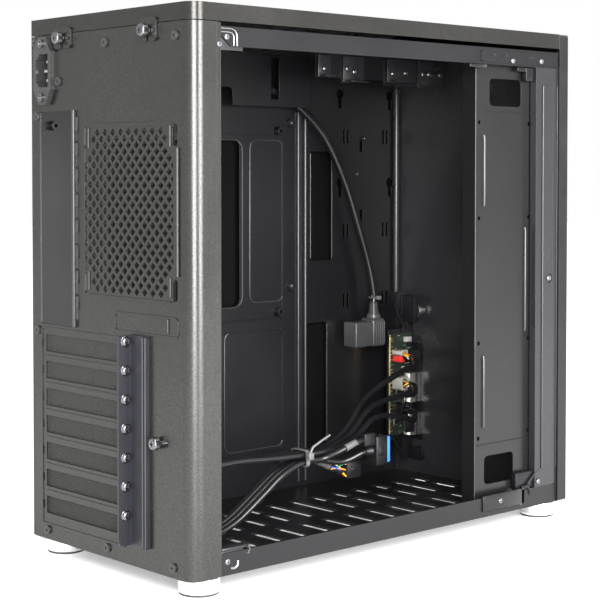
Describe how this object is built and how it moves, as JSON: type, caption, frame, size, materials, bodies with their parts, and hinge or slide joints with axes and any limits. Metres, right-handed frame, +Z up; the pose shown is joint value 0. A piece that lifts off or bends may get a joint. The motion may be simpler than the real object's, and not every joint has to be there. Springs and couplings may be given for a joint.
{
  "type": "desktop computer tower",
  "caption": "Tall sheet-metal desktop computer case, open on one side, with slot covers, mains inlet, drive panel, tied cables, lift-off top and turned feet.",
  "frame": {"origin": "on the ground under the middle of the whole tower", "axes": "+X towards the closed side, +Y towards the rear, +Z up"},
  "size_m": [0.194, 0.412, 0.402],
  "materials": {
    "outer_finish": "fine-textured dark grey powder coat",
    "inner_finish": "smooth black paint",
    "panel_finish": "satin dark grey paint",
    "mesh_finish": "dark grey paint over fine mesh",
    "bracket_finish": "satin blue-grey paint",
    "dark_screws": "black nickel plate",
    "bright_screws": "bright zinc plate",
    "painted_screws": "dark grey paint",
    "black_plastic": "moulded black plastic",
    "plated_metal": "nickel-plated sheet",
    "foot_metal": "bright turned aluminium",
    "pad_rubber": "matt black rubber",
    "button_metal": "satin aluminium",
    "board": "dark green solder mask",
    "header_plastic": "moulded off-white plastic",
    "cable_jacket": "satin black cable jacket",
    "plug_plastic": "moulded black plastic",
    "blue_plastic": "black shell with a blue insert",
    "clear_plastic": "translucent nylon"
  },
  "bodies": {
    "case": {"rear_panel": "outer_finish", "front_panel": "black_plastic", "floor_panel": "inner_finish", "top_panel": "inner_finish", "motherboard_tray": "inner_finish", "wiring_cover": "inner_finish", "front_frame": "inner_finish", "drive_panel": "panel_finish", "slot_cover_1": "mesh_finish", "slot_cover_2": "mesh_finish", "slot_cover_3": "mesh_finish", "slot_cover_4": "mesh_finish", "slot_cover_5": "mesh_finish", "slot_cover_6": "mesh_finish", "slot_cover_7": "mesh_finish", "slot_bracket": "bracket_finish", "slot_screws": "dark_screws", "ac_inlet": "black_plastic", "ac_pins": "plated_metal", "inlet_screws": "dark_screws", "rear_screws": "painted_screws", "frame_screws": "bright_screws", "corner_bracket_top": "inner_finish", "corner_bracket_bottom": "inner_finish", "hanger_rail": "inner_finish", "hanger_screws": "bright_screws", "foot_1": "foot_metal", "foot_2": "foot_metal", "foot_3": "foot_metal", "foot_4": "foot_metal", "pad_1": "pad_rubber", "pad_2": "pad_rubber", "pad_3": "pad_rubber", "pad_4": "pad_rubber", "panel_catch_top": "black_plastic", "panel_catch_bottom": "black_plastic", "io_board": "board", "io_bracket": "black_plastic", "usb_port_1": "plated_metal", "usb_port_2": "plated_metal", "audio_jack": "black_plastic", "board_headers": "header_plastic", "ac_lead": "cable_jacket", "ac_plug": "plug_plastic", "lead_tie": "clear_plastic", "usb_lead": "cable_jacket", "usb_plug": "blue_plastic", "audio_lead": "cable_jacket", "audio_plug": "plug_plastic", "panel_lead": "cable_jacket", "panel_plug": "plug_plastic", "bundle_tie": "clear_plastic"},
    "cover": {"top_cover": "outer_finish", "cover_tab_1": "outer_finish", "cover_tab_2": "outer_finish"},
    "side_panel": {"right_side_panel": "outer_finish"},
    "button": {"power_button": "button_metal"},
    "cover_screw_1": {"cover_screw_1": "dark_screws"},
    "cover_screw_2": {"cover_screw_2": "dark_screws"},
    "lock_screw": {"slot_lock_screw": "dark_screws"}
  },
  "joints": [
    {"name": "cover_lift", "type": "slide", "parent": "case", "child": "cover", "axis": [0, 0, 1], "range_m": [0, 0.06]},
    {"name": "side_panel_pull", "type": "slide", "parent": "case", "child": "side_panel", "axis": [1, 0, 0], "range_m": [0, 0.05]},
    {"name": "power_button_press", "type": "slide", "parent": "case", "child": "button", "axis": [0, 1, 0], "range_m": [0, 0.0015], "stiffness_N_per_m": 300, "springref_m": -0.001},
    {"name": "cover_screw_1_turn", "type": "hinge", "parent": "case", "child": "cover_screw_1", "pos_m": [0.0535, 0.194, 0.386], "axis": [0, 1, 0], "continuous": true},
    {"name": "cover_screw_2_turn", "type": "hinge", "parent": "case", "child": "cover_screw_2", "pos_m": [-0.051, 0.194, 0.385], "axis": [0, 1, 0], "continuous": true},
    {"name": "lock_screw_turn", "type": "hinge", "parent": "case", "child": "lock_screw", "pos_m": [-0.061, 0.194, 0.1025], "axis": [0, 1, 0], "continuous": true}
  ]
}
